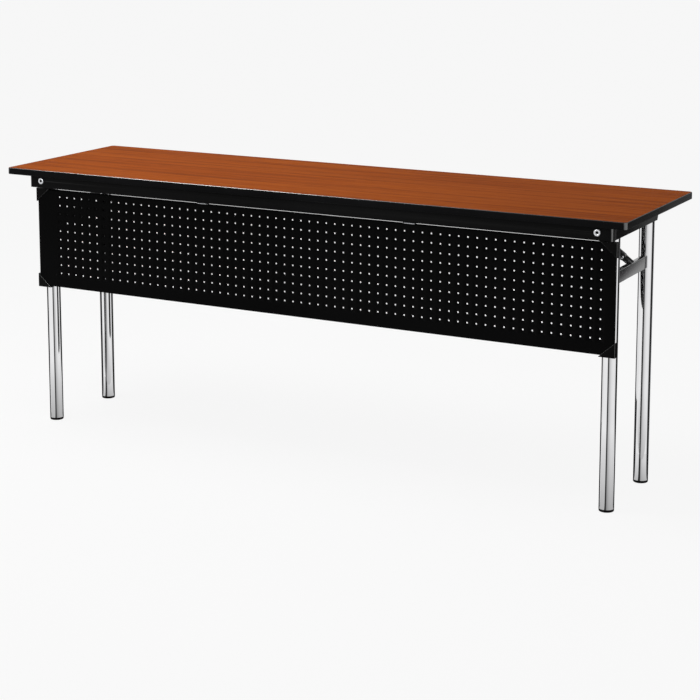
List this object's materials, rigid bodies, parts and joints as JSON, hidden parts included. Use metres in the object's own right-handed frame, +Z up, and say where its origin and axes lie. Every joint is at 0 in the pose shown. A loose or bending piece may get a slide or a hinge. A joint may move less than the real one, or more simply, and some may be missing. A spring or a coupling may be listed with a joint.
{
  "type": "folding training table",
  "caption": "Long narrow training table with a wood-grain top, folding chrome tube legs with slotted stays, and a hinged perforated modesty panel.",
  "frame": {"origin": "on the floor under the middle of the table top", "axes": "+X along the table, +Z up, -Y towards the modesty panel side"},
  "size_m": [1.8, 0.5, 0.735],
  "materials": {
    "cherry_laminate": "satin cherry wood-grain laminate",
    "board_core": "pressed board",
    "board_backer": "matt dark backing sheet",
    "black_edge": "satin black edge band",
    "black_steel": "satin black powder coat",
    "chrome_tube": "polished chrome plate",
    "black_plastic": "moulded black plastic",
    "zinc_plate": "bright zinc plate"
  },
  "bodies": {
    "frame": {"top_laminate": "cherry_laminate", "top_core": "board_core", "top_backer": "board_backer", "edge_band": "black_edge", "front_rail": "black_steel", "rear_rail": "black_steel", "left_connector_bolt": "zinc_plate", "left_end_channel": "black_steel", "left_stay_guide": "black_steel", "left_hinge_bracket": "black_steel", "left_hinge_pin": "zinc_plate", "left_front_leg_bracket": "black_steel", "left_front_pivot_bolt": "zinc_plate", "left_rear_leg_bracket": "black_steel", "left_rear_pivot_bolt": "zinc_plate", "right_connector_bolt": "zinc_plate", "right_end_channel": "black_steel", "right_stay_guide": "black_steel", "right_hinge_bracket": "black_steel", "right_hinge_pin": "zinc_plate", "right_front_leg_bracket": "black_steel", "right_front_pivot_bolt": "zinc_plate", "right_rear_leg_bracket": "black_steel", "right_rear_pivot_bolt": "zinc_plate"},
    "panel": {"modesty_panel": "black_steel", "left_upper_cap": "black_plastic", "left_lower_cap": "black_plastic", "left_hinge_leaf": "zinc_plate", "right_upper_cap": "black_plastic", "right_lower_cap": "black_plastic", "right_hinge_leaf": "zinc_plate"},
    "left_leg_frame": {"left_front_leg": "chrome_tube", "left_front_leg_bush": "black_plastic", "left_front_foot": "black_plastic", "left_rear_leg": "chrome_tube", "left_rear_leg_bush": "black_plastic", "left_rear_foot": "black_plastic", "left_crossbar": "black_steel", "left_stay_clevis": "black_steel", "left_stay_lower_pin": "zinc_plate"},
    "left_stay": {"left_stay_arm": "black_steel", "left_stay_upper_pin": "zinc_plate"},
    "right_leg_frame": {"right_front_leg": "chrome_tube", "right_front_leg_bush": "black_plastic", "right_front_foot": "black_plastic", "right_rear_leg": "chrome_tube", "right_rear_leg_bush": "black_plastic", "right_rear_foot": "black_plastic", "right_crossbar": "black_steel", "right_stay_clevis": "black_steel", "right_stay_lower_pin": "zinc_plate"},
    "right_stay": {"right_stay_arm": "black_steel", "right_stay_upper_pin": "zinc_plate"}
  },
  "joints": [
    {"name": "left_leg_fold", "type": "hinge", "parent": "frame", "child": "left_leg_frame", "pos_m": [-0.829, -0.0215, 0.688], "axis": [0, -1, 0], "range_deg": [0, 90]},
    {"name": "left_stay_swing", "type": "hinge", "parent": "left_leg_frame", "child": "left_stay", "pos_m": [-0.8125, -0.0215, 0.607], "axis": [0, -1, 0], "range_deg": [-127, 0]},
    {"name": "right_leg_fold", "type": "hinge", "parent": "frame", "child": "right_leg_frame", "pos_m": [0.829, -0.0215, 0.688], "axis": [0, 1, 0], "range_deg": [0, 90]},
    {"name": "right_stay_swing", "type": "hinge", "parent": "right_leg_frame", "child": "right_stay", "pos_m": [0.8125, -0.0215, 0.607], "axis": [0, 1, 0], "range_deg": [-127, 0]},
    {"name": "panel_swing", "type": "hinge", "parent": "frame", "child": "panel", "pos_m": [0, -0.176, 0.674], "axis": [1, 0, 0], "range_deg": [-60, 0]}
  ],
  "couplings": [
    {"joint": "left_stay_swing", "follows": "left_leg_fold", "ratio": -1.4111},
    {"joint": "right_stay_swing", "follows": "right_leg_fold", "ratio": -1.4111}
  ]
}
